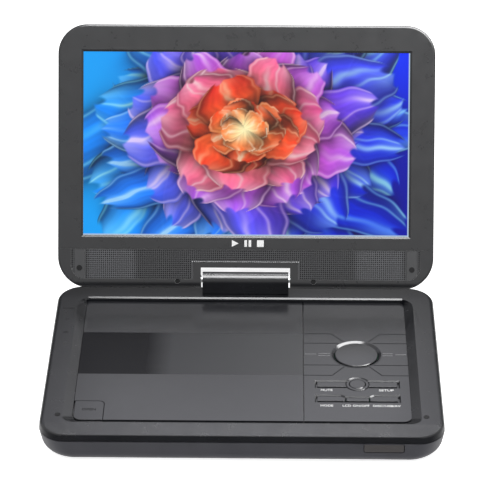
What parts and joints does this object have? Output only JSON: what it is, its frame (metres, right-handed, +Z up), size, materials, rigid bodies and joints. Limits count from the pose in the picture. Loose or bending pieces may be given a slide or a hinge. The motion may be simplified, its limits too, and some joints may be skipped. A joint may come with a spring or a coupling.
{
  "type": "portable disc player",
  "caption": "Portable disc player: flat base with a hinged disc door and a key panel, and a widescreen lid on a hinge that tilts and swivels.",
  "frame": {"origin": "centre of the footprint of the player with its lid open, on the surface that its feet stand on", "axes": "+X to the right of a person at the keys, +Y to the back, +Z up"},
  "size_m": [0.258, 0.262, 0.1915],
  "materials": {
    "housing_gloss": "moulded, satin gloss",
    "housing_satin": "moulded, fine satin texture",
    "bezel_satin": "moulded, smooth satin",
    "panel_gloss": "polished",
    "door_gloss": "polished",
    "key_gloss": "polished",
    "window_smoke": "smoked, polished",
    "tray_plastic": "moulded",
    "white_plastic": "moulded",
    "socket_plastic": "moulded",
    "rubber": "matte",
    "steel": "bright",
    "sled_metal": "die cast",
    "screw_black": "black oxide",
    "chrome_trim": "polished plate",
    "circuit_board": "solder mask",
    "battery_wrap": "shrink film",
    "lens_glass": "coated",
    "screen_glass": "lit display"
  },
  "bodies": {
    "base": {"audio_jacks": "socket_plastic", "base_bottom_housing": "housing_satin", "base_screws": "screw_black", "base_top_housing": "housing_gloss", "battery_pack": "battery_wrap", "card_slot": "steel", "control_panel": "panel_gloss", "dc_jack": "socket_plastic", "disc_tray": "tray_plastic", "door_pins": "steel", "frame_bumpers": "rubber", "front_window": "window_smoke", "guide_rods": "steel", "key_board": "circuit_board", "loader_dampers": "rubber", "loader_frame": "steel", "loader_screws": "steel", "main_board": "circuit_board", "nav_ring": "key_gloss", "port_board": "circuit_board", "power_switch_body": "socket_plastic", "rubber_feet": "rubber", "sled_motor": "steel", "spindle_motor": "steel", "usb_socket": "steel", "volume_pot": "socket_plastic"},
    "swivel": {"hinge_body": "housing_gloss", "swivel_shaft": "steel", "swivel_washer": "steel", "swivel_nut": "steel"},
    "lid": {"lid_front_bezel": "bezel_satin", "lid_rear_shell": "housing_satin", "lcd_panel": "screen_glass", "backlight_tray": "white_plastic", "display_board": "circuit_board", "speakers": "socket_plastic", "tilt_pins": "steel", "hinge_brackets": "steel", "bezel_plugs": "rubber", "lid_screws": "screw_black", "hinge_trim": "chrome_trim"},
    "disc_door": {"disc_door": "door_gloss"},
    "turntable": {"turntable_hub": "tray_plastic", "turntable_mat": "rubber", "spindle_shaft": "steel"},
    "sled": {"laser_sled": "sled_metal", "laser_lens": "lens_glass"},
    "lead_screw": {"lead_screw": "white_plastic"},
    "open_button": {"open_button": "door_gloss"},
    "latch": {"latch_slider": "white_plastic"},
    "nav_pivot": {"nav_pivot": "white_plastic"},
    "nav_key": {"nav_key": "key_gloss"},
    "mute_key": {"mute_key": "key_gloss"},
    "ok_key": {"ok_key": "key_gloss"},
    "setup_key": {"setup_key": "key_gloss"},
    "mode_key": {"mode_key": "key_gloss"},
    "screen_key": {"screen_key": "key_gloss"},
    "source_key": {"source_key": "key_gloss"},
    "power_switch": {"power_switch_cap": "key_gloss"},
    "volume_wheel": {"volume_wheel": "socket_plastic"}
  },
  "joints": [
    {"name": "lid_swivel", "type": "hinge", "parent": "base", "child": "swivel", "pos_m": [0, 0.0475, 0.024], "axis": [0, 0, 1], "range_deg": [-180, 90]},
    {"name": "lid_tilt", "type": "hinge", "parent": "swivel", "child": "lid", "pos_m": [0, 0.0475, 0.0325], "axis": [-1, 0, 0], "range_deg": [-116.5, 63.5]},
    {"name": "door_open", "type": "hinge", "parent": "base", "child": "disc_door", "pos_m": [-0.0345, 0.034, 0.017], "axis": [1, 0, 0], "range_deg": [-65, 0]},
    {"name": "turntable_spin", "type": "hinge", "parent": "base", "child": "turntable", "pos_m": [-0.0346, -0.0367, 0.012], "axis": [0, 0, 1], "continuous": true},
    {"name": "sled_feed", "type": "slide", "parent": "base", "child": "sled", "axis": [0, -1, 0], "range_m": [0, 0.033]},
    {"name": "lead_screw_turn", "type": "hinge", "parent": "base", "child": "lead_screw", "pos_m": [-0.0056, -0.086, 0.009], "axis": [0, 1, 0], "range_deg": [-10, 3970]},
    {"name": "open_press", "type": "slide", "parent": "base", "child": "open_button", "axis": [0, 0, -1], "range_m": [0, 0.0012], "stiffness_N_per_m": 400, "springref_m": -0.0006},
    {"name": "latch_slide", "type": "slide", "parent": "base", "child": "latch", "axis": [0, -1, 0], "range_m": [-0.0001, 0.0013]},
    {"name": "nav_tilt_updown", "type": "hinge", "parent": "base", "child": "nav_pivot", "pos_m": [0.0746, -0.0297, 0.0196], "axis": [1, 0, 0], "range_deg": [-2.5, 2.5], "stiffness_Nm_per_rad": 0.05},
    {"name": "nav_tilt_sideways", "type": "hinge", "parent": "nav_pivot", "child": "nav_key", "pos_m": [0.0746, -0.0297, 0.0196], "axis": [0, 1, 0], "range_deg": [-2.5, 2.5], "stiffness_Nm_per_rad": 0.05},
    {"name": "mute_press", "type": "slide", "parent": "base", "child": "mute_key", "axis": [0, 0, -1], "range_m": [0, 0.0006], "stiffness_N_per_m": 300, "springref_m": -0.0004},
    {"name": "ok_press", "type": "slide", "parent": "base", "child": "ok_key", "axis": [0, 0, -1], "range_m": [0, 0.0006], "stiffness_N_per_m": 300, "springref_m": -0.0004},
    {"name": "setup_press", "type": "slide", "parent": "base", "child": "setup_key", "axis": [0, 0, -1], "range_m": [0, 0.0006], "stiffness_N_per_m": 300, "springref_m": -0.0004},
    {"name": "mode_press", "type": "slide", "parent": "base", "child": "mode_key", "axis": [0, 0, -1], "range_m": [0, 0.0006], "stiffness_N_per_m": 300, "springref_m": -0.0004},
    {"name": "screen_press", "type": "slide", "parent": "base", "child": "screen_key", "axis": [0, 0, -1], "range_m": [0, 0.0006], "stiffness_N_per_m": 300, "springref_m": -0.0004},
    {"name": "source_press", "type": "slide", "parent": "base", "child": "source_key", "axis": [0, 0, -1], "range_m": [0, 0.0006], "stiffness_N_per_m": 300, "springref_m": -0.0004},
    {"name": "power_slide", "type": "slide", "parent": "base", "child": "power_switch", "axis": [0, 1, 0], "range_m": [0, 0.004]},
    {"name": "volume_turn", "type": "hinge", "parent": "base", "child": "volume_wheel", "pos_m": [0.1224, -0.03, 0.0122], "axis": [0, 0, 1], "range_deg": [-135, 135]}
  ],
  "couplings": [
    {"joint": "lead_screw_turn", "follows": "sled_feed", "rad_per_m": 2094.4},
    {"joint": "latch_slide", "follows": "open_press", "ratio": 1}
  ]
}
